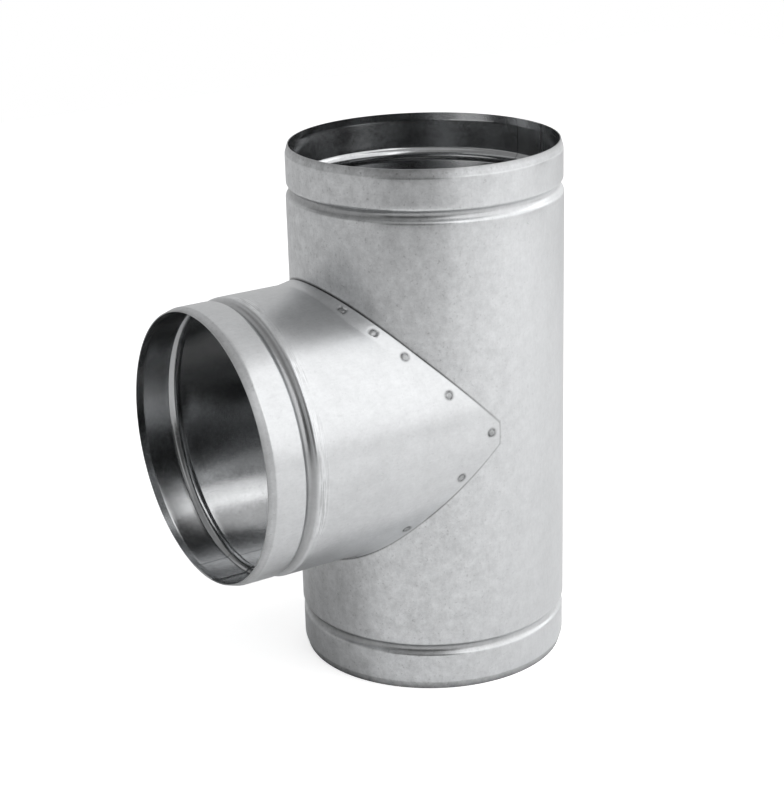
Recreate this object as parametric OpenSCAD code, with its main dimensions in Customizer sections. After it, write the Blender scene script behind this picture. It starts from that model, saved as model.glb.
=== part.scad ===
// Galvanized duct tee of welded steel sheet.
// A straight run stands on its bottom rim, and an equal branch leaves it square, towards -X.
// Origin: on the run's axis, in the plane of the bottom rim. +Z points up the run.

/* [Duct] */
// Outside diameter of the run's body
duct_d = 150; // [90:1:200]
// Thickness of the sheet
sheet_t = 0.6; // [0.4:0.1:1.0]
// Height of the run from rim to rim
run_h = 290; // [270:1:600]
// Reach of the branch from the run's axis to its rim
branch_reach = 145; // [135:1:300]
// Height of the branch's axis above the middle of the run
branch_rise = 1; // [-10:0.5:10]

/* [Spigots] */
// How much smaller in radius the spigots are than the run's body
spigot_in = 0.4; // [0:0.1:1]
// Length of the lip that is drawn in at each rim
lip_l = 4.6; // [3:0.1:8]
// How far the rim is drawn in from the spigot
lip_in = 1.4; // [0.5:0.1:2.5]
// Distance from the rim to the middle of the stop groove
groove_at = 24; // [18:0.5:34]
// Depth of the stop groove under the spigot
groove_depth = 2; // [1:0.1:2.6]
// Radius of the stop groove's hollow
groove_r = 3; // [2.6:0.1:4]
// Radius of the two shoulders of the stop groove
shoulder_r = 2.2; // [2.1:0.1:3]

/* [Joint] */
// Width of the run's turned out strip, which lines the root of the branch
strip_w = 9.5; // [6:0.5:14]
// Distance from the run's axis to the blunt tips of the branch's mitre
tip_at = 5.9; // [4:0.1:10]
// Corner radius of the blunt tips
tip_r = 4.5; // [2:0.1:8]

/* [Lap seams] */
// Overlap of the rolled sheet at each lengthwise seam
lap_w = 18; // [10:1:25]
// Gap at the outer edge of each seam
lap_gap = 0.3; // [0.1:0.1:0.6]
// Bearing of the run's seam, from +X towards +Y, in degrees
run_seam_deg = 1.5; // [-20:0.5:20]
// Bearing of the branch's seam, from the bottom towards +Y, in degrees
branch_seam_deg = 2; // [-20:0.5:20]

/* [Spot welds] */
// Diameter of the ring that a weld leaves
weld_d = 5.6; // [4:0.1:7]
// Width of that ring
weld_ring_w = 1; // [0.6:0.1:1.4]
// Depth of that ring
weld_depth = 0.2; // [0.1:0.05:0.3]
// Distance between the welds of a lap seam
weld_pitch = 36; // [20:1:60]
// Distance from the rim to the first weld of a lap seam
weld_end = 11; // [9:0.5:14]

/* [Hidden] */

// Welds of the joint on one side: degrees from the crown, and distance from the mitre along the branch
joint_welds = [[24, 4.4], [38, 5.3], [51, 5.9], [70, 8.9], [89, 9.9], [106, 8.0], [130, 5.9], [155, 4.6]];

run_r = duct_d / 2;
branch_r = run_r + sheet_t;
spigot_r = run_r - spigot_in;
branch_z = run_h / 2 + branch_rise;
groove_c = [spigot_r - groove_depth + groove_r, groove_at];
reach_all = run_h + branch_reach;
// How far a cutting shape reaches past what it cuts
cut_over = 1;
// Thickness of the shapes that cut right through the tee
through = 2 * duct_d;
// How far the shape that cuts a weld ring stands out of the sheet
weld_clear = 0.2;
// How far the inner sheet of a lap seam runs on past the gap, in degrees
lap_past_deg = 2;
arc_steps = 4;
tip_steps = 6;
weld_fn = 32;
steel = [0.72, 0.74, 0.76];
$fn = 180;

// Degrees of arc that a width takes up on the run
function width_deg(w) = w / run_r * 180 / PI;

// Degrees that the inner sheet of a lap seam takes up
inner_deg = width_deg(lap_w) + lap_past_deg;

// Points of an arc, from angle a to angle b
function arc(c, r, a, b, n) = [for (i = [0:n]) let (t = a + (b - a) * i / n) c + r * [cos(t), sin(t)]];

// Centre of a groove shoulder that runs out on the radius given, below (-1) or above (1) the groove
function shoulder_c(out_r, side) =
    let (dx = groove_c.x - out_r + shoulder_r)
    [out_r - shoulder_r, groove_at + side * sqrt(pow(groove_r + shoulder_r, 2) - dx * dx)];

// Angle of the line from the groove's centre to a shoulder's centre
function shoulder_deg(c) = atan2(c.y - groove_c.y, c.x - groove_c.x);

// Height above the rim where the groove has run out on the body
function groove_end(body_r) = shoulder_c(body_r, 1).y;

// Outline of one end of a tube, from the rim up, at a depth inside its outer surface
function end_line(body_r, depth) =
    let (low = shoulder_c(spigot_r, -1))
    let (high = shoulder_c(body_r, 1))
    let (low_a = shoulder_deg(low) + 360)
    let (high_a = shoulder_deg(high))
    concat(
        [[spigot_r - lip_in - depth, 0], [spigot_r - depth, lip_l]],
        arc(low, shoulder_r - depth, 0, low_a - 180, arc_steps),
        arc(groove_c, groove_r + depth, low_a, high_a, 2 * arc_steps),
        arc(high, shoulder_r - depth, high_a - 180, 0, arc_steps)
    );

function flipped(points, top) = [for (i = [len(points) - 1:-1:0]) [points[i].x, top - points[i].y]];

function reversed(points) = [for (i = [len(points) - 1:-1:0]) points[i]];

// Outline of the run, with both ends formed
function run_line(depth) = concat(end_line(run_r, depth), flipped(end_line(run_r, depth), run_h));

// Outline of the branch, with its mouth formed and its root plain
function branch_line(depth) = concat(end_line(branch_r, depth), [[branch_r - depth, branch_reach]]);

module run_wall(depth) {
    polygon(concat(run_line(depth), reversed(run_line(depth + sheet_t))));
}

module branch_wall(depth) {
    polygon(concat(branch_line(depth), reversed(branch_line(depth + sheet_t))));
}

// Moves a tube that is built rim down to the branch's place, with its rim outwards and its 0 degrees down
module on_branch() {
    translate([-branch_reach, 0, branch_z]) rotate([0, 90, 0]) children();
}

// Side view shapes are drawn about the crossing of the two axes and cut right through the tee
module side_cut() {
    translate([0, 0, branch_z]) rotate([90, 0, 0])
        linear_extrude(height = through, center = true) children();
}

// Everything on the branch's side of the mitre
module mitre_half() {
    polygon([[0, 0], [-reach_all, reach_all], [-reach_all, -reach_all]]);
}

// The band along the mitre that the run's turned out strip takes up
module mitre_band(w) {
    polygon([
        [0, 0], [-reach_all, reach_all], [-reach_all - w, reach_all],
        [-w, 0], [-reach_all - w, -reach_all], [-reach_all, -reach_all]
    ]);
}

// The branch's side of the mitre, with its tips cut blunt
module blunt_half() {
    corner = tip_r * tan(22.5) - tip_at;
    low = arc([-tip_at - tip_r, corner], tip_r, -45, 0, tip_steps);
    high = arc([-tip_at - tip_r, -corner], tip_r, 0, 45, tip_steps);
    polygon(concat([[-reach_all, -reach_all]], low, high, [[-reach_all, reach_all]]));
}

// The ring that one spot weld presses into the sheet, about Z, with the sheet's surface at 0
module weld_mark() {
    mid = (weld_d - weld_ring_w) / 2;
    half = weld_ring_w * (weld_depth + weld_clear) / weld_depth / 2;
    rotate_extrude($fn = weld_fn)
        polygon([[mid, -weld_depth], [mid + half, weld_clear], [mid - half, weld_clear]]);
}

// Weld marks up a lap seam of a tube that stands on its rim, on the outside at a radius
module seam_marks(r, deg, first, last) {
    count = max(1, round((last - first) / weld_pitch));
    pitch = (last - first) / count;
    rotate([0, 0, deg]) for (i = [0:count])
        translate([r, 0, first + i * pitch]) rotate([0, 90, 0]) weld_mark();
}

// Gap at the outer edge of a lap seam, through the outer sheet
module seam_gap(deg, h) {
    rotate([0, 0, deg + width_deg(lap_w) / 2]) translate([run_r / 2, 0, -cut_over])
        cube([run_r, lap_gap, h + 2 * cut_over]);
}

module run_shell() {
    difference() {
        rotate_extrude() run_wall(0);
        seam_gap(run_seam_deg, run_h);
        seam_marks(run_r, run_seam_deg, groove_end(run_r) + weld_end, run_h - groove_end(run_r) - weld_end);
        side_cut() mitre_half();
    }
    rotate_extrude(angle = inner_deg, start = run_seam_deg - width_deg(lap_w) / 2) run_wall(sheet_t);
}

// The strip that is turned out of the run along the mitre, which the branch is welded to
module run_strip() {
    intersection() {
        on_branch() difference() {
            cylinder(r = run_r, h = branch_reach);
            translate([0, 0, -cut_over]) cylinder(r = run_r - sheet_t, h = branch_reach + 2 * cut_over);
        }
        side_cut() mitre_band(strip_w);
    }
}

module run_tube() {
    color(steel) union() {
        run_shell();
        run_strip();
    }
}

// Weld marks round the root of the branch, on both sides
module joint_marks() {
    for (side = [-1, 1]) for (w = joint_welds)
        translate([-branch_r * abs(cos(w[0])) - w[1], 0, branch_z]) rotate([side * w[0], 0, 0])
            translate([0, 0, branch_r]) weld_mark();
}

module branch_tube() {
    color(steel) union() {
        difference() {
            on_branch() rotate_extrude() branch_wall(0);
            on_branch() seam_gap(branch_seam_deg, branch_reach);
            on_branch() seam_marks(branch_r, branch_seam_deg, groove_end(branch_r) + weld_end,
                branch_reach - branch_r - strip_w - weld_end / 2);
            side_cut() difference() {
                square(4 * reach_all, center = true);
                blunt_half();
            }
            joint_marks();
        }
        intersection() {
            on_branch() rotate_extrude(angle = inner_deg, start = branch_seam_deg - width_deg(lap_w) / 2)
                branch_wall(sheet_t);
            side_cut() translate([-strip_w - cut_over, 0]) mitre_half();
        }
    }
}

run_tube();
branch_tube();
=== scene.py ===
"""Galvanized duct tee: two tubes of rolled zinc coated sheet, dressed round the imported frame."""
import math
from collections import namedtuple

import bmesh
import bpy
import numpy as np
from mathutils import Matrix, Vector


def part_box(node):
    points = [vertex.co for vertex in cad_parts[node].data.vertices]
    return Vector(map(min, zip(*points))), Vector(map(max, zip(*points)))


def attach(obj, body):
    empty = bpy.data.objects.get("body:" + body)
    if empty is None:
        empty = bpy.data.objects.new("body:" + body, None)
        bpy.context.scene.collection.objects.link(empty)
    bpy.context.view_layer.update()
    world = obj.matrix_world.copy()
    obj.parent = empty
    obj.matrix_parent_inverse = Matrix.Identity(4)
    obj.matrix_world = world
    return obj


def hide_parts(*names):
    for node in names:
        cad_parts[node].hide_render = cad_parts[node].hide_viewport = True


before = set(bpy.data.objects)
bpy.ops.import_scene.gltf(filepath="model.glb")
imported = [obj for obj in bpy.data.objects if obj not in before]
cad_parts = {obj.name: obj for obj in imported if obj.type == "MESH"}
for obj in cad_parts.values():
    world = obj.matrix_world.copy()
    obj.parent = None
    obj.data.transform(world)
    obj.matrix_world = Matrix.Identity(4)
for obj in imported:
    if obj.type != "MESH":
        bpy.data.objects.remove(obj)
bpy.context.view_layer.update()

# Sizes in metres, from the frame where it has them
MM = 0.001
TINY = 1e-9
RUN_LOW, RUN_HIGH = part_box("run_tube")
BRANCH_LOW, BRANCH_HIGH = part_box("branch_tube")
RUN_R = RUN_HIGH.x
RUN_H = RUN_HIGH.z
BRANCH_R = (BRANCH_HIGH.z - BRANCH_LOW.z) / 2
BRANCH_Z = (BRANCH_HIGH.z + BRANCH_LOW.z) / 2
REACH = -BRANCH_LOW.x
SHEET = BRANCH_R - RUN_R
SPIGOT_R = RUN_R - 0.4 * MM
LIP_L = 4.6 * MM
LIP_IN = 1.4 * MM
# The lip bends into the spigot a little under its surface, and ends a little past its own length
LIP_SHARES = (0, 0.25, 0.5, 0.75, 0.9)
LIP_SOFT = 0.03 * MM
LIP_PAST = 1.12
GROOVE_AT = 24 * MM
GROOVE_DEPTH = 2 * MM
GROOVE_R = 3 * MM
SHOULDER_R = 2.2 * MM

# The joint: the run's turned out strip, the branch's blunt tips, and the root that is knocked outwards
STRIP_W = 9.5 * MM
STRIP_CLEAR = 1 * MM
FOLD_R = 0.9 * MM
FOLD_GROWTH = 6
TIP_AT = 5.9 * MM
TIP_R = 4.5 * MM
TIP_HALF_DEG = 22.5
SLANT = math.sqrt(0.5)
FLARE = 1.5 * MM
FLARE_FROM = 0.55
FLARE_CURVE = 0.7
FLARE_W = 6.5 * MM
FLARE_W_MORE = 3.5 * MM
FLARE_W_OVER = 0.16
CREASE_W = 0.4 * MM
CREASE_LIFT = 0.012
CREASE_SHARE = 0.03

# Lap seams: degrees from the seam's side, as in the solids
LAP_HALF_DEG = 18 * MM / RUN_R * 180 / math.pi / 2
LAP_GAP_DEG = 0.3 * MM / RUN_R * 180 / math.pi
LAP_PAST_DEG = 2
LAP_END = 0.02 * MM
RUN_SEAM_DEG = 1.5
BRANCH_SEAM_DEG = 2.0
STEP_DEG = 0.03
# Columns this far either side of a lap seam's step keep the painted shadow along the step to a narrow band
SEAM_SHADOW_DEG = 0.45
SEAM_CLEAR_DEG = 0.1

# Spot welds of the joint on one side: degrees from the crown, and distance from the mitre along the branch
JOINT_WELDS = ((24, 4.4), (38, 5.3), (51, 5.9), (70, 8.9), (89, 9.9), (106, 8.0), (130, 5.9), (155, 4.6))
WELD_R = 2.8 * MM
WELD_DEPTH = 0.3 * MM
WELD_PITCH = 36 * MM
WELD_END = 11 * MM
# How far round a weld the sheet is cut finer, and how far it is formed, in weld radii
WELD_FINE = 1.9
WELD_FORMED = 1.5
WELD_CUTS = 5
# Points further from the outer surface than this, in sheets, belong to another surface
SKIN = 0.45

# Rows of faces along each stretch of a tube, and the angles between columns
PLAIN_ROWS = 7
SHOULDER_ROWS = 5
GROOVE_ROWS = 10
BODY_ROWS = 20
FOLD_ROWS = 3
STRIP_ROWS = 4
BRANCH_ROWS = 16
CREASE_ROWS = 2
ROOT_ROWS = 6
RUN_STEP_DEG = 1.5
RUN_FINE_DEG = 0.5
RUN_FINE_REACH_DEG = 8
BRANCH_STEP_DEG = 1.25
BRANCH_FINE_DEG = 0.4
BRANCH_FINE_REACH_DEG = 7
MERGE = 2e-6
SHARP_DEG = 38

# The camera, fitted to the outlines in the photograph, which is 784 by 800 pixels
PHOTO_W, PHOTO_H = 784, 800
CAM_YAW, CAM_PITCH, CAM_ROLL = -32.58, 19.5, -1.56
CAM_DISTANCE = 1.0705
CAM_TARGET = Vector((-0.0246, 0.0, 0.1472))
CAM_FOCAL_PX = 1937.0
CAM_SENSOR_MM = 36
CAM_CLIP = 0.05


def make_camera():
    yaw, pitch, roll = (math.radians(v) for v in (CAM_YAW, CAM_PITCH, CAM_ROLL))
    back = Vector((math.sin(yaw) * math.cos(pitch), -math.cos(yaw) * math.cos(pitch), math.sin(pitch)))
    right = Vector((math.cos(yaw), math.sin(yaw), 0))
    up = back.cross(right)
    turned_right = right * math.cos(roll) + up * math.sin(roll)
    turned_up = up * math.cos(roll) - right * math.sin(roll)
    data = bpy.data.cameras.new("camera")
    data.sensor_fit = "AUTO"
    data.sensor_width = CAM_SENSOR_MM
    data.lens = CAM_FOCAL_PX * CAM_SENSOR_MM / max(PHOTO_W, PHOTO_H)
    data.clip_start = CAM_CLIP
    cam = bpy.data.objects.new("camera", data)
    bpy.context.scene.collection.objects.link(cam)
    place = Matrix((turned_right, turned_up, back)).transposed().to_4x4()
    place.translation = CAM_TARGET + back * CAM_DISTANCE
    cam.matrix_world = place
    bpy.context.scene.camera = cam


class Sheet:
    """Collects grids of points, and joins them into one closed sheet."""

    def __init__(self):
        self.verts = []
        self.faces = []

    def grid(self, rows, open_cells=()):
        """Adds the faces between rows of points, but for the open cells, which are (row, column)."""
        rows = np.asarray(rows, float)
        n, m = rows.shape[:2]
        start = len(self.verts)
        self.verts.extend(map(tuple, rows.reshape(-1, 3)))
        for i in range(n - 1):
            for j in range(m - 1):
                if (i, j) in open_cells:
                    continue
                a = start + i * m + j
                self.faces.append((a, a + 1, a + m + 1, a + m))

    def to_object(self, name):
        mesh = bpy.data.meshes.new(name)
        mesh.from_pydata(self.verts, [], self.faces)
        bm = bmesh.new()
        bm.from_mesh(mesh)
        bmesh.ops.remove_doubles(bm, verts=bm.verts, dist=MERGE)
        bmesh.ops.dissolve_degenerate(bm, edges=bm.edges, dist=MERGE / 20)
        bmesh.ops.recalc_face_normals(bm, faces=bm.faces)
        bm.to_mesh(mesh)
        bm.free()
        obj = bpy.data.objects.new(name, mesh)
        bpy.context.scene.collection.objects.link(obj)
        return obj


def smooth_step(x, low, high):
    t = np.clip((x - low) / (high - low), 0, 1)
    return t * t * (3 - 2 * t)


def bell(x, middle, width):
    return math.exp(-(((x - middle) / width) ** 2))


def arc_points(cx, cy, r, a, b, n):
    t = np.radians(np.linspace(a, b, n + 1))
    return [(cx + r * math.cos(v), cy + r * math.sin(v)) for v in t]


def blend_rows(a, b, n):
    """n values from a to b, without a."""
    return [a + (b - a) * (i + 1) / n for i in range(n)]


def end_profile(body_r, depth):
    """(radius, distance from the rim) up a formed end, at a depth inside the sheet's outer surface."""
    gx = SPIGOT_R - GROOVE_DEPTH + GROOVE_R
    both = GROOVE_R + SHOULDER_R

    def shoulder(out_r, side):
        dx = gx - out_r + SHOULDER_R
        return out_r - SHOULDER_R, GROOVE_AT + side * math.sqrt(both * both - dx * dx)

    low, high = shoulder(SPIGOT_R, -1), shoulder(body_r, 1)
    low_a = math.degrees(math.atan2(low[1] - GROOVE_AT, low[0] - gx)) + 360
    high_a = math.degrees(math.atan2(high[1] - GROOVE_AT, high[0] - gx))
    lip = [(SPIGOT_R - LIP_IN * (1 - k) - depth, LIP_L * k) for k in LIP_SHARES]
    lip += [(SPIGOT_R - LIP_SOFT - depth, LIP_L), (SPIGOT_R - depth, LIP_L * LIP_PAST)]
    plain = [(SPIGOT_R - depth, v) for v in blend_rows(LIP_L * LIP_PAST, low[1], PLAIN_ROWS)[:-1]]
    return (
        lip
        + plain
        + arc_points(*low, SHOULDER_R - depth, 0, low_a - 180, SHOULDER_ROWS)
        + arc_points(gx, GROOVE_AT, GROOVE_R + depth, low_a, high_a, GROOVE_ROWS)[1:]
        + arc_points(*high, SHOULDER_R - depth, high_a - 180, 0, SHOULDER_ROWS)[1:]
    )


def run_column(deg, depth, to_axis):
    """Points of one column of the run, from a rim to the mitre and out along the turned strip, as
    (x, y, distance from the rim). deg is measured from -X towards -Y, and to_axis is the distance from the
    rim to the branch's axis."""
    c, s = math.cos(math.radians(deg)), math.sin(math.radians(deg))
    pts = [(-r * c, -r * s, u) for r, u in end_profile(RUN_R, depth)]
    r = RUN_R - depth
    drop = max(0.0, r * c)
    fold = FOLD_R * min(1, max(0, c) * FOLD_GROWTH) + depth * max(0, c)
    if c < TINY:
        fold = 0
    top = to_axis - drop
    for u in blend_rows(pts[-1][2], top - fold, BODY_ROWS):
        pts.append((-r * c, -r * s, u))
    if abs(deg) > 90:
        return pts
    for a in blend_rows(0, math.pi / 2, FOLD_ROWS):
        pts.append((-r * c - fold * (1 - math.cos(a)), -r * s, top - fold + fold * math.sin(a)))
    for e in blend_rows(fold, STRIP_W, STRIP_ROWS):
        pts.append((-r * c - e, -r * s, top))
    return pts


def to_run(points, upper):
    p = np.array(points)
    if upper:
        p[:, 2] = RUN_H - p[:, 2]
    return p


def fine_angles(low, high, step, near=(), fine=0.0, reach=0.0):
    """Angles from low to high, a step apart, and a fine step apart within reach of the angles in near."""
    out = [low]
    while out[-1] < high - TINY:
        a = out[-1]
        close = any(abs(a - n) < reach for n in near)
        out.append(min(high, a + (fine if close else step)))
    return out


def lap_columns(seam_deg):
    """Angles near a lap seam with the outer and inner depth at each, in sheets. The seam's edge is a gap."""
    first, edge = seam_deg - LAP_HALF_DEG, seam_deg + LAP_HALF_DEG
    gap = edge + LAP_GAP_DEG
    last = gap + LAP_PAST_DEG
    return [
        (first - STEP_DEG, 0, 1), (first, 0, 2), (edge - STEP_DEG, 0, 2), (edge, 1, 2),
        (gap, 1, 2), (gap + STEP_DEG, 0, 2), (last - SEAM_SHADOW_DEG, 0, 2), (last, 0, 2),
        (last + STEP_DEG, 0, 1), (last + SEAM_SHADOW_DEG, 0, 1),
    ]


def seam_table(angles, seam):
    """Merges evenly spread angles with a seam's own, as rows of angle, outer depth and inner depth."""
    marks = lap_columns(seam)
    low, high = marks[0][0] - SEAM_CLEAR_DEG, marks[-1][0] + SEAM_CLEAR_DEG
    inner_low, inner_high = marks[1][0] + SEAM_CLEAR_DEG, marks[2][0] - SEAM_CLEAR_DEG
    table = [(a, 0, 1) for a in angles if a < low or a > high]
    inner = [(a, 0, 2) for a in angles if inner_low < a < inner_high]
    return sorted(table + marks + inner)


def make_run():
    sheet = Sheet()
    front = fine_angles(-90, 90, RUN_STEP_DEG, (-90, 90), RUN_FINE_DEG, RUN_FINE_REACH_DEG)
    for to_axis, upper in ((BRANCH_Z, False), (RUN_H - BRANCH_Z, True)):
        outer = np.array([to_run(run_column(a, 0, to_axis), upper) for a in front]).transpose(1, 0, 2)
        inner = np.array([to_run(run_column(a, SHEET, to_axis), upper) for a in front]).transpose(1, 0, 2)
        sheet.grid(outer)
        sheet.grid(inner)
        sheet.grid(np.array([outer[0], inner[0]]))
        sheet.grid(np.array([outer[-1], inner[-1]]))
    # Beyond the two mitre tips the columns run from rim to rim
    rows = seam_table(fine_angles(90, 270, RUN_STEP_DEG), 180 + RUN_SEAM_DEG)
    sides = []
    for which in (1, 2):
        columns = []
        for row in rows:
            depth = row[which] * SHEET
            keep = len(end_profile(RUN_R, depth)) + BODY_ROWS
            below = to_run(run_column(row[0], depth, BRANCH_Z), False)[:keep]
            above = to_run(run_column(row[0], depth, RUN_H - BRANCH_Z), True)[:keep]
            columns.append(np.vstack([below, above[::-1][1:]]))
        sides.append(np.array(columns).transpose(1, 0, 2))
    outer, inner = sides
    sheet.grid(outer)
    sheet.grid(inner)
    for end in (0, -1):
        sheet.grid(np.array([outer[end], inner[end]]))
    return sheet.to_object("run_sheet")


def mitre_end(height):
    """Distance from the run's axis to the branch's edge, at a height above or below the branch's axis."""
    h = abs(height)
    flat = TIP_AT - TIP_R * math.tan(math.radians(TIP_HALF_DEG))
    round_end = TIP_AT + TIP_R * (1 - SLANT)
    if h >= round_end:
        return h
    if h <= flat:
        return TIP_AT
    return TIP_AT + TIP_R - math.sqrt(TIP_R**2 - (h - flat) ** 2)


def flare_at(deg):
    """How far the branch's root is knocked outwards, and the width of the strip that is bent."""
    c = abs(math.cos(math.radians(deg)))
    lift = FLARE * float(smooth_step(c, FLARE_FROM, 1.0)) ** FLARE_CURVE
    width = FLARE_W + FLARE_W_MORE * float(smooth_step(1 - c, 0.0, FLARE_W_OVER))
    return lift, width


def branch_column(deg, sheets):
    """Points of one column of the branch, from its rim to its root, at a depth in sheets. deg is measured
    from the top towards -Y."""
    c, s = math.cos(math.radians(deg)), math.sin(math.radians(deg))
    pts = list(end_profile(BRANCH_R, sheets * SHEET))
    r = BRANCH_R - sheets * SHEET
    root_r = BRANCH_R - min(sheets, 1) * SHEET
    edge = REACH - mitre_end(root_r * c)
    lift, width = flare_at(deg)
    lap_end = edge - STRIP_W - STRIP_CLEAR
    for u in blend_rows(pts[-1][1], lap_end, BRANCH_ROWS):
        pts.append((r, u))
    pts.append((root_r, lap_end + LAP_END))
    for u in blend_rows(lap_end + LAP_END, edge - width - CREASE_W, CREASE_ROWS):
        pts.append((root_r, u))
    pts.append((root_r + lift * CREASE_LIFT, edge - width))
    for k in blend_rows(0, 1, ROOT_ROWS):
        pts.append((root_r + lift * (CREASE_SHARE + (1 - CREASE_SHARE) * k), edge - width * (1 - k)))
    return [(-REACH + u, -r * s, BRANCH_Z + r * c) for r, u in pts]


def make_branch():
    sheet = Sheet()
    angles = fine_angles(0, 360, BRANCH_STEP_DEG, (90, 270), BRANCH_FINE_DEG, BRANCH_FINE_REACH_DEG)
    rows = seam_table(angles, 180 + BRANCH_SEAM_DEG)
    outer = np.array([branch_column(a, o) for a, o, i in rows]).transpose(1, 0, 2)
    inner = np.array([branch_column(a, i) for a, o, i in rows]).transpose(1, 0, 2)
    # The seam's gap runs right through the root, where there is only one sheet
    gap = [o for a, o, i in rows].index(1)
    root = len(end_profile(BRANCH_R, 0)) + BRANCH_ROWS
    open_cells = {(k, gap) for k in range(root, len(outer) - 1)}
    sheet.grid(outer, open_cells)
    sheet.grid(inner, open_cells)
    for end in (0, -1):
        sheet.grid(np.array([outer[end], inner[end]]))
    return sheet.to_object("branch_sheet")


# How dark each point's zinc is, kept with the mesh under this name: burnt at the welds, and painted shadow
# along the steps of the lap seams
SCORCH_AND_SHADE = "scorch_and_shade"
SEAM_SHADOW = 1.3


def dent(obj, spots):
    """Presses a weld ring into the sheet at each spot: a point on the surface and its outward normal."""
    bm = bmesh.new()
    bm.from_mesh(obj.data)
    scorch_and_shade = bm.verts.layers.float.new(SCORCH_AND_SHADE)
    for centre, normal in spots:
        near = [
            f for f in bm.faces
            if (f.calc_center_median() - centre).length < WELD_R * WELD_FINE and f.normal.dot(normal) > 0.5
            and abs((f.calc_center_median() - centre).dot(normal)) < SHEET * SKIN
        ]
        edges = list({e for f in near for e in f.edges})
        bmesh.ops.subdivide_edges(bm, edges=edges, cuts=WELD_CUTS, use_grid_fill=True)
        for v in bm.verts:
            away = v.co - centre
            lift = away.dot(normal)
            flat = (away - normal * lift).length
            if flat < WELD_R * WELD_FORMED and abs(lift) < SHEET * SKIN:
                v.co += normal * weld_form(flat / WELD_R)
                v[scorch_and_shade] = max(v[scorch_and_shade], weld_scorch(flat / WELD_R))
    bm.to_mesh(obj.data)
    bm.free()


def weld_form(r):
    """Height of the sheet at a distance from the middle of a pressed weld ring, in weld radii."""
    return -WELD_DEPTH * bell(r, 0.72, 0.26)


def weld_scorch(r):
    """How dark the zinc is burnt at a distance from the middle of a weld, in weld radii."""
    return max(0.9 * bell(r, 0.68, 0.3), 0.55 * float(smooth_step(-r, -1, -0.5)))


def paint_seam_shadow(obj, middle, side, seam_deg, turn):
    """Paints shadow along the inner step of a lap seam, where the sheet's edge stands. turn gives a point's
    angle round the tube.
    """
    scorch_and_shade = obj.data.attributes[SCORCH_AND_SHADE].data
    step = seam_deg + LAP_HALF_DEG + LAP_GAP_DEG + LAP_PAST_DEG
    for i, v in enumerate(obj.data.vertices):
        if abs(turn(v.co) - step) < SEAM_CLEAR_DEG and (v.co - middle).dot(side) > 0:
            scorch_and_shade[i].value = SEAM_SHADOW


def run_turn(p):
    return math.degrees(math.atan2(p.y, p.x))


def branch_turn(p):
    return math.degrees(math.atan2(p.y, BRANCH_Z - p.z))


def joint_spots():
    spots = []
    for side in (1, -1):
        for deg, back in JOINT_WELDS:
            a = math.radians(deg)
            normal = Vector((0, -side * math.sin(a), math.cos(a)))
            x = -BRANCH_R * abs(math.cos(a)) - back * MM
            lift, width = flare_at(deg)
            rise = lift * max(0, 1 - back * MM / width)
            spots.append((Vector((x, 0, BRANCH_Z)) + normal * (BRANCH_R + rise), normal))
    return spots


def seam_places(first, last):
    count = max(1, round((last - first) / WELD_PITCH))
    return [first + (last - first) * i / count for i in range(count + 1)]


def run_seam_spots():
    a = math.radians(RUN_SEAM_DEG)
    normal = Vector((math.cos(a), math.sin(a), 0))
    end = end_profile(RUN_R, 0)[-1][1] + WELD_END
    return [(normal * RUN_R + Vector((0, 0, z)), normal) for z in seam_places(end, RUN_H - end)]


def branch_seam_spots():
    a = math.radians(BRANCH_SEAM_DEG)
    normal = Vector((0, math.sin(a), -math.cos(a)))
    first = end_profile(BRANCH_R, 0)[-1][1] + WELD_END
    last = REACH - BRANCH_R - STRIP_W - WELD_END / 2
    return [(normal * BRANCH_R + Vector((u - REACH, 0, BRANCH_Z)), normal) for u in seam_places(first, last)]


def node_tree(name):
    mat = bpy.data.materials.new(name)
    mat.use_nodes = True
    mat.node_tree.nodes.clear()
    return mat, mat.node_tree


class Nodes:
    """Short names for making and wiring nodes."""

    def __init__(self, tree):
        self.tree = tree

    def add(self, kind, **values):
        node = self.tree.nodes.new(kind)
        for key, value in values.items():
            setattr(node, key, value)
        return node

    def wire(self, a, b):
        self.tree.links.new(a, b)

    def noise(self, vector, scale, detail=2.0, rough=0.5):
        node = self.add("ShaderNodeTexNoise")
        node.inputs["Scale"].default_value = scale
        node.inputs["Detail"].default_value = detail
        node.inputs["Roughness"].default_value = rough
        self.wire(vector, node.inputs["Vector"])
        return node.outputs["Fac"]

    def stretched(self, vector, scale):
        node = self.add("ShaderNodeMapping")
        node.inputs["Scale"].default_value = scale
        self.wire(vector, node.inputs["Vector"])
        return node.outputs[0]

    def ramp(self, value, low, high, out_low, out_high, smooth=False):
        node = self.add("ShaderNodeMapRange")
        if smooth:
            node.interpolation_type = "SMOOTHSTEP"
        for key, v in (("From Min", low), ("From Max", high), ("To Min", out_low), ("To Max", out_high)):
            node.inputs[key].default_value = v
        self.wire(value, node.inputs["Value"])
        return node.outputs["Result"]

    def swing(self, noise, low, high):
        """Spreads the usual range of a noise over low to high."""
        return self.ramp(noise, 0.3, 0.7, low, high)

    def math(self, kind, a, b):
        node = self.add("ShaderNodeMath", operation=kind)
        for i, v in enumerate((a, b)):
            if isinstance(v, (int, float)):
                node.inputs[i].default_value = v
            else:
                self.wire(v, node.inputs[i])
        return node.outputs[0]

    def vector(self, kind, a, b):
        node = self.add("ShaderNodeVectorMath", operation=kind)
        for i, v in enumerate((a, b)):
            if isinstance(v, tuple):
                node.inputs[i].default_value = v
            else:
                self.wire(v, node.inputs[i])
        return node

    def times(self, first, *others):
        for value in others:
            first = self.math("MULTIPLY", first, value)
        return first

    def plus(self, first, *others):
        for value in others:
            first = self.math("ADD", first, value)
        return first

    def minus(self, a, b):
        return self.math("SUBTRACT", a, b)

    def absolute(self, a):
        return self.math("ABSOLUTE", a, 0.0)

    def parts(self, vector):
        node = self.add("ShaderNodeSeparateXYZ")
        self.wire(vector, node.inputs[0])
        return [node.outputs[key] for key in ("X", "Y", "Z")]


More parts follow.
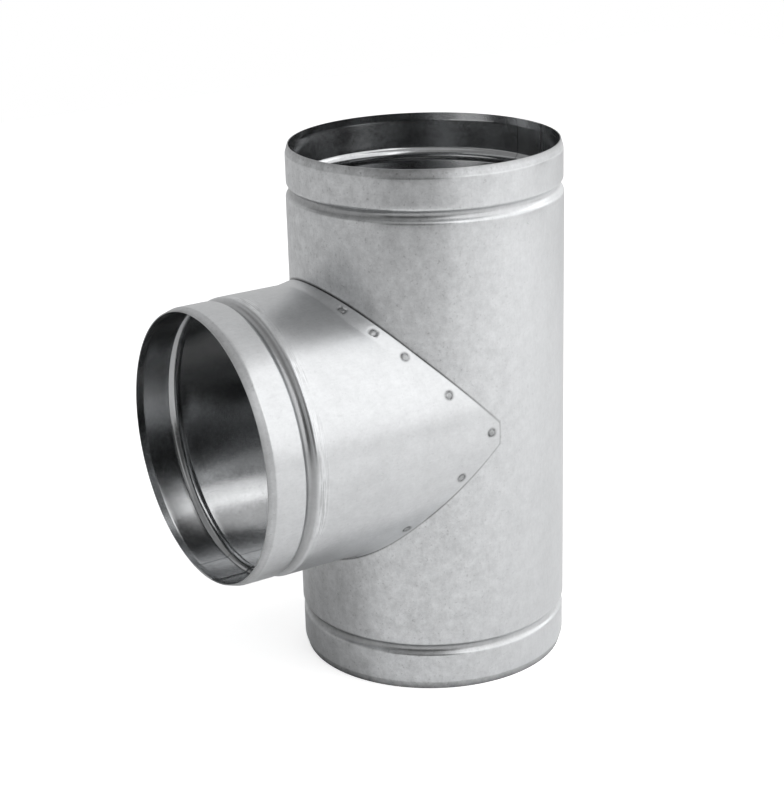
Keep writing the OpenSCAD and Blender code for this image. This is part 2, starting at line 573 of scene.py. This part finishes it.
# The zinc's colour, and the scales of its patterns in features per metre
ZINC = (0.70, 0.71, 0.72)
CLOUD_SCALE = 42
MOTTLE_SCALE = 170
SPANGLE_SCALE = 520
SPECK_SCALE = 620
GRAIN_SCALE = 900
GRAIN_STRETCH = 0.25
RUB_SCALE = 1200
RUB_STRETCH = 0.06
RUB_PATCH_SCALE = 26
# How dark specks are against the mottling, and how much rougher the outer lips and smoother the insides are
SPECK_DEPTH = 1.2
LIP_ROUGH = 0.09
INSIDE_SMOOTH = 0.13
# Tones of the lips and the rims; the painted shade of the insides and the foot, and the heel's painted shade
LIP_TONE = 0.83
RIM_TONE = 0.78
# The insides are painted darker as shade, since little light reaches into a tube
INSIDE_SHADE_TONE = 0.75
FOOT_SHADE_TONE = 0.7
HEEL_SHADE = 0.3
LIP_MOTTLE = 0.06
# Where a lip's look has set in, in lip lengths from the rim
LIP_SET = 0.8
# Painted shade on the left side, away from the light: heavier mottling and dark specks over the real zinc,
# and darker grooves, fading out towards the lit right side between these X
SHADED_SIDE_X = -0.045
LIT_SIDE_X = 0.03
LIT_MOTTLE_X = 0.02
GROOVE_SHADE = (0.42, 0.02)
# How far the painted shade along the joint moves out where the root is flared
JOINT_SHADE_SHIFT = 1.3 * MM
BUMP_STRENGTH = 0.10
BUMP_DISTANCE = 0.0001

# Painted shade along the joint, for the shadow in the gap between the sheets: where it starts, is full, fades
# and ends past the branch's edge in mm, and how strong
Edge = namedtuple("Edge", "band tip crown")
RUN_EDGE = Edge((-2.8, -1.68, 0.28, 1.4), tip=0.35, crown=0.8)
BRANCH_EDGE = Edge((-0.6, -0.3, 5, 6), tip=0.2, crown=0.2)

# A tube's look: its middle, the axes across it, its half length, and how mottled its left and right are
Look = namedtuple("Look", "name middle across half edge mottling rub")
RUN_LOOK = Look("zinc_run", (0, 0, RUN_H / 2), (1, 1, 0), RUN_H / 2, RUN_EDGE, (0.16, 0.03), rub=0.02)
BRANCH_LOOK = Look("zinc_branch", (0, 0, BRANCH_Z), (0, 1, 1), REACH, BRANCH_EDGE, (0.05, 0.05), rub=0.22)


def galvanized(look):
    """Zinc coated steel sheet: clouds, mottle, fine flat spangle, dark specks and a light rolling grain."""
    mat, tree = node_tree(look.name)
    n = Nodes(tree)
    out = n.add("ShaderNodeOutputMaterial")
    bsdf = n.add("ShaderNodeBsdfPrincipled")
    n.wire(bsdf.outputs[0], out.inputs["Surface"])
    places = n.add("ShaderNodeTexCoord")
    coords = places.outputs["Object"]
    inside, reach = tube_places(n, places, look)
    outside = n.minus(1.0, inside)
    on_lip = n.ramp(reach, look.half - LIP_L, look.half - LIP_SET * LIP_L, 0, 1)
    clouds = n.noise(coords, CLOUD_SCALE, 3)
    mottle = n.noise(coords, MOTTLE_SCALE, 4, 0.8)
    spangle = n.noise(coords, SPANGLE_SCALE, 3, 0.6)
    specks = n.ramp(n.noise(coords, SPECK_SCALE, 2), 0.62, 0.72, 0, 1, True)
    grain_scale = [1 if v else GRAIN_STRETCH for v in look.across]
    grain = n.noise(n.stretched(coords, grain_scale), GRAIN_SCALE, 2, 0.55)
    x = n.parts(coords)[0]
    # Painted shade: the real mottling and specks are made heavier on the left, away from the light
    heavy = n.plus(n.ramp(x, SHADED_SIDE_X, LIT_MOTTLE_X, *look.mottling), n.times(on_lip, LIP_MOTTLE))
    tone = n.plus(n.swing(clouds, -0.03, 0.03), n.swing(spangle, -0.028, 0.028), n.swing(grain, -0.02, 0.02))
    tone = n.plus(tone, n.times(n.swing(mottle, -1, 1), heavy))
    tone = n.minus(tone, n.times(specks, heavy, SPECK_DEPTH))
    # Painted shade in the grooves' hollows, stronger on the left
    groove_shade_depth = n.ramp(x, SHADED_SIDE_X, LIT_SIDE_X, *GROOVE_SHADE)
    level = n.times(n.plus(tone, 1.0), end_level(n, inside, outside, reach, look.half, groove_shade_depth))
    # Painted shade along the joint, and painted shade on the foot and the heel
    level = n.times(level, joint_shade_level(n, coords, outside, look.edge), low_shade_level(n, coords))
    level = n.plus(level, n.times(rub_marks(n, coords, reach, look), outside, look.rub))
    # Real weld burns, and painted shadow along the lap seams' steps, read from the mesh
    scorch_and_shade = n.add("ShaderNodeAttribute", attribute_name=SCORCH_AND_SHADE).outputs["Fac"]
    burnt_and_shaded = n.times(scorch_and_shade, n.ramp(mottle, 0.35, 0.6, 0.35, 0.95))
    level = n.times(level, n.minus(1.0, burnt_and_shaded))
    tint = n.add("ShaderNodeMix", data_type="RGBA", blend_type="MULTIPLY")
    tint.inputs["Factor"].default_value = 1
    tint.inputs["A"].default_value = (*ZINC, 1)
    grey = n.add("ShaderNodeCombineColor")
    for key in ("Red", "Green", "Blue"):
        n.wire(level, grey.inputs[key])
    n.wire(grey.outputs[0], tint.inputs["B"])
    n.wire(tint.outputs["Result"], bsdf.inputs["Base Color"])
    bsdf.inputs["Metallic"].default_value = 1.0
    rough = n.plus(n.swing(clouds, 0.30, 0.36), n.swing(spangle, -0.03, 0.03))
    rough = n.minus(rough, n.times(inside, INSIDE_SMOOTH))
    rough = n.plus(rough, n.times(on_lip, outside, LIP_ROUGH))
    n.wire(rough, bsdf.inputs["Roughness"])
    bump = n.add("ShaderNodeBump")
    bump.inputs["Strength"].default_value = BUMP_STRENGTH
    bump.inputs["Distance"].default_value = BUMP_DISTANCE
    n.wire(n.plus(mottle, spangle, grain), bump.inputs["Height"])
    n.wire(bump.outputs[0], bsdf.inputs["Normal"])
    return mat


def tube_places(n, places, look):
    """Whether a point faces into its tube, 0 or 1, and its distance along the tube from the tee's middle."""
    from_middle = n.vector("SUBTRACT", places.outputs["Object"], look.middle).outputs[0]
    radial = n.vector("MULTIPLY", from_middle, look.across).outputs[0]
    outward = n.vector("DOT_PRODUCT", radial, places.outputs["Normal"]).outputs["Value"]
    along = n.vector("SUBTRACT", from_middle, radial).outputs[0]
    reach = n.add("ShaderNodeVectorMath", operation="LENGTH")
    n.wire(along, reach.inputs[0])
    return n.ramp(outward, -0.02, -0.01, 1, 0), reach.outputs["Value"]


def end_level(n, inside, outside, reach, half, groove_shade_depth):
    """Tone at a formed end: darker lips and rims, painted shade in the groove's hollow, and painted shade
    over the inside.
    """
    lip = n.ramp(reach, half - LIP_L, half - LIP_SET * LIP_L, 1, LIP_TONE, True)
    rim = n.ramp(reach, half - 0.5 * LIP_L, half, 1, RIM_TONE)
    off = n.absolute(n.minus(reach, half - GROOVE_AT))
    hollow = n.ramp(off, 0.3 * GROOVE_R, 1.3 * GROOVE_R, 1, 0, True)
    groove = n.minus(1.0, n.times(hollow, groove_shade_depth))
    # Painted shade over the whole inside
    return n.plus(n.times(lip, rim, groove, outside), n.times(inside, INSIDE_SHADE_TONE))


def joint_shade_level(n, coords, outside, edge):
    """Painted shade along the joint, for the shadow in the gap between the sheets, from the distance past the
    branch's edge. The shade lies further out where the root is flared, and is weaker at the tips."""
    x, _, z = n.parts(coords)
    above = n.absolute(n.minus(z, BRANCH_Z))
    past = n.math("MAXIMUM", n.times(n.plus(above, x), SLANT), n.plus(x, TIP_AT))
    past = n.minus(past, n.ramp(above, 0.6 * RUN_R, RUN_R, 0, JOINT_SHADE_SHIFT, True))
    start, full, fading, end = (v * MM for v in edge.band)
    near = n.times(n.ramp(past, start, full, 0, 1, True), n.ramp(past, fading, end, 1, 0, True), outside)
    strength = n.ramp(above, 0.1 * RUN_R, 0.55 * RUN_R, edge.tip, edge.crown)
    return n.minus(1.0, n.times(near, strength))


def low_shade_level(n, coords):
    """Painted shade of the low places: the run's foot, for the shaded floor it reflects, and the branch's
    heel next to the run.
    """
    x, _, z = n.parts(coords)
    foot = n.ramp(z, 0, LIP_L, FOOT_SHADE_TONE, 1)
    # Painted shade under the branch's heel, next to the run
    heel = n.ramp(z, BRANCH_Z - RUN_R, BRANCH_Z - 0.65 * RUN_R, HEEL_SHADE, 0, True)
    near = n.ramp(x, 2 * GROOVE_AT - REACH, -RUN_R, 0, 1, True)
    clear = n.ramp(x, -RUN_R, -0.8 * RUN_R, 1, 0, True)
    return n.minus(foot, n.times(heel, near, clear))


def rub_marks(n, coords, reach, look):
    """Fine light and dark scratches round the tube, on the body side of a groove."""
    scale = [RUB_STRETCH if v else 1 for v in look.across]
    lines = n.ramp(n.noise(n.stretched(coords, scale), RUB_SCALE, 2, 0.6), 0.38, 0.62, -0.9, 1)
    patches = n.ramp(n.noise(coords, RUB_PATCH_SCALE, 2), 0.38, 0.52, 0.15, 1, True)
    start = look.half - GROOVE_AT - 1.5 * GROOVE_R
    fade_in = n.ramp(reach, start - 7 * MM, start - 2 * MM, 0, 1, True)
    return n.times(lines, patches, fade_in, n.ramp(reach, start, start + MM, 1, 0))


# The studio, in metres and degrees. Bearings run from +X towards +Y
STUDIO_CENTRE = Vector((0, 0, 0.14))
CARD_R = 1.45
CARD_H = 3.2
CARD_LOW = 0.001
CARD_STEPS = 12
FLOOR_HALF = 1.6
FLOOR_GREY = 0.88
FLOOR_GLOW = 0.62
WORLD_SEEN = 1
WORLD_SOFT = 0.5


def emission(n, level):
    glow = n.add("ShaderNodeEmission")
    glow.inputs["Color"].default_value = (1, 1, 1, 1)
    glow.inputs["Strength"].default_value = level
    return glow.outputs[0]


def emitter(name, level):
    mat, tree = node_tree(name)
    n = Nodes(tree)
    out = n.add("ShaderNodeOutputMaterial")
    n.wire(emission(n, level), out.inputs["Surface"])
    return mat


def backdrop(n, strength):
    shade = n.add("ShaderNodeBackground")
    shade.inputs["Color"].default_value = (1, 1, 1, 1)
    shade.inputs["Strength"].default_value = strength
    return shade.outputs[0]


def make_world():
    """White for camera, glossy and transmission rays, and softer for the rest."""
    world = bpy.data.worlds.new("studio")
    bpy.context.scene.world = world
    world.use_nodes = True
    world.node_tree.nodes.clear()
    n = Nodes(world.node_tree)
    out = n.add("ShaderNodeOutputWorld")
    path = n.add("ShaderNodeLightPath")
    seen = n.math("MAXIMUM", path.outputs["Is Camera Ray"], path.outputs["Is Glossy Ray"])
    seen = n.math("MAXIMUM", seen, path.outputs["Is Transmission Ray"])
    mix = n.add("ShaderNodeMixShader")
    n.wire(seen, mix.inputs[0])
    n.wire(backdrop(n, WORLD_SOFT), mix.inputs[1])
    n.wire(backdrop(n, WORLD_SEEN), mix.inputs[2])
    n.wire(mix.outputs[0], out.inputs["Surface"])


def direction(azimuth, elevation):
    """Unit vector towards a bearing and an elevation."""
    a, e = math.radians(azimuth), math.radians(elevation)
    return Vector((math.cos(a) * math.cos(e), math.sin(a) * math.cos(e), math.sin(e)))


def softbox(name, azimuth, elevation, distance, size, power, in_metal=True):
    """An area lamp that faces the tee. in_metal is whether the metal reflects it."""
    data = bpy.data.lights.new(name, "AREA")
    data.shape = "RECTANGLE"
    data.size, data.size_y = size
    data.energy = power
    lamp = bpy.data.objects.new(name, data)
    bpy.context.scene.collection.objects.link(lamp)
    back = direction(azimuth, elevation)
    lamp.location = STUDIO_CENTRE + back * distance
    lamp.rotation_mode = "QUATERNION"
    lamp.rotation_quaternion = back.to_track_quat("Z", "Y")
    lamp.visible_camera = False
    lamp.visible_glossy = in_metal


def stage_card(name, verts, faces, level):
    """A self-lit card that stands round the tee for its reflections, out of the camera's sight."""
    mesh = bpy.data.meshes.new(name)
    mesh.from_pydata(verts, [], faces)
    card = bpy.data.objects.new(name, mesh)
    bpy.context.scene.collection.objects.link(card)
    mesh.materials.append(emitter(name, level))
    card.visible_camera = False
    card.visible_shadow = False
    card.visible_diffuse = False


def wall_card(name, bearings, heights, level):
    """A curved card that stands round the tee between two bearings and two heights."""
    verts = []
    for bearing in np.linspace(*bearings, CARD_STEPS + 1):
        foot = direction(bearing, 0) * CARD_R
        verts += [(foot.x, foot.y, height) for height in heights]
    faces = [(2 * i, 2 * i + 2, 2 * i + 3, 2 * i + 1) for i in range(CARD_STEPS)]
    stage_card(name, verts, faces, level)


def square_corners(half, height):
    return [(x * half, y * half, height) for x, y in ((-1, -1), (1, -1), (1, 1), (-1, 1))]


def make_floor():
    mesh = bpy.data.meshes.new("floor")
    mesh.from_pydata(square_corners(FLOOR_HALF, 0), [], [(0, 1, 2, 3)])
    floor = bpy.data.objects.new("floor", mesh)
    bpy.context.scene.collection.objects.link(floor)
    mat, tree = node_tree("floor")
    n = Nodes(tree)
    out = n.add("ShaderNodeOutputMaterial")
    matt = n.add("ShaderNodeBsdfDiffuse")
    matt.inputs["Color"].default_value = (FLOOR_GREY, FLOOR_GREY, FLOOR_GREY, 1)
    both = n.add("ShaderNodeAddShader")
    n.wire(matt.outputs[0], both.inputs[0])
    n.wire(emission(n, FLOOR_GLOW), both.inputs[1])
    path = n.add("ShaderNodeLightPath")
    mix = n.add("ShaderNodeMixShader")
    n.wire(path.outputs["Is Camera Ray"], mix.inputs[0])
    n.wire(matt.outputs[0], mix.inputs[1])
    n.wire(both.outputs[0], mix.inputs[2])
    n.wire(mix.outputs[0], out.inputs["Surface"])
    mesh.materials.append(mat)


def make_studio():
    """One soft lamp on the camera's right, and the darker sides of a studio for the metal to reflect."""
    make_world()
    make_floor()
    softbox("key", azimuth=-50, elevation=32, distance=1.1, size=(2.0, 1.5), power=12)
    softbox("floor_light", azimuth=-40, elevation=65, distance=1.2, size=(0.8, 0.8), power=2, in_metal=False)
    wall_card("behind_key", bearings=(-89, -11), heights=(CARD_LOW, 2.5), level=0.02)
    wall_card("camera_side_low", bearings=(200, 258), heights=(CARD_LOW, 0.95), level=0.08)
    wall_card("camera_side_high", bearings=(200, 262), heights=(0.95, CARD_H), level=0.35)
    wall_card("back", bearings=(40, 110), heights=(CARD_LOW, CARD_H), level=0.62)
    wall_card("left_low", bearings=(110, 200), heights=(CARD_LOW, 0.9), level=0.54)
    wall_card("left_high", bearings=(110, 200), heights=(0.9, CARD_H), level=0.3)
    stage_card("ceiling", square_corners(CARD_R, CARD_H), [(0, 1, 2, 3)], level=0.5)


def finish_look(obj, material, node):
    for poly in obj.data.polygons:
        poly.use_smooth = True
    obj.data.set_sharp_from_angle(angle=math.radians(SHARP_DEG))
    obj.data.materials.append(material)
    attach(obj, "root")
    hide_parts(node)


make_camera()
make_studio()
run = make_run()
dent(run, run_seam_spots())
# Painted shadow along the step of each lap seam, here and on the branch
paint_seam_shadow(run, Vector((0, 0, 0)), Vector((1, 0, 0)), RUN_SEAM_DEG, run_turn)
branch = make_branch()
dent(branch, joint_spots() + branch_seam_spots())
paint_seam_shadow(branch, Vector((0, 0, BRANCH_Z)), Vector((0, 0, -1)), BRANCH_SEAM_DEG, branch_turn)
finish_look(run, galvanized(RUN_LOOK), "run_tube")
finish_look(branch, galvanized(BRANCH_LOOK), "branch_tube")
bpy.context.scene.view_settings.view_transform = "Standard"
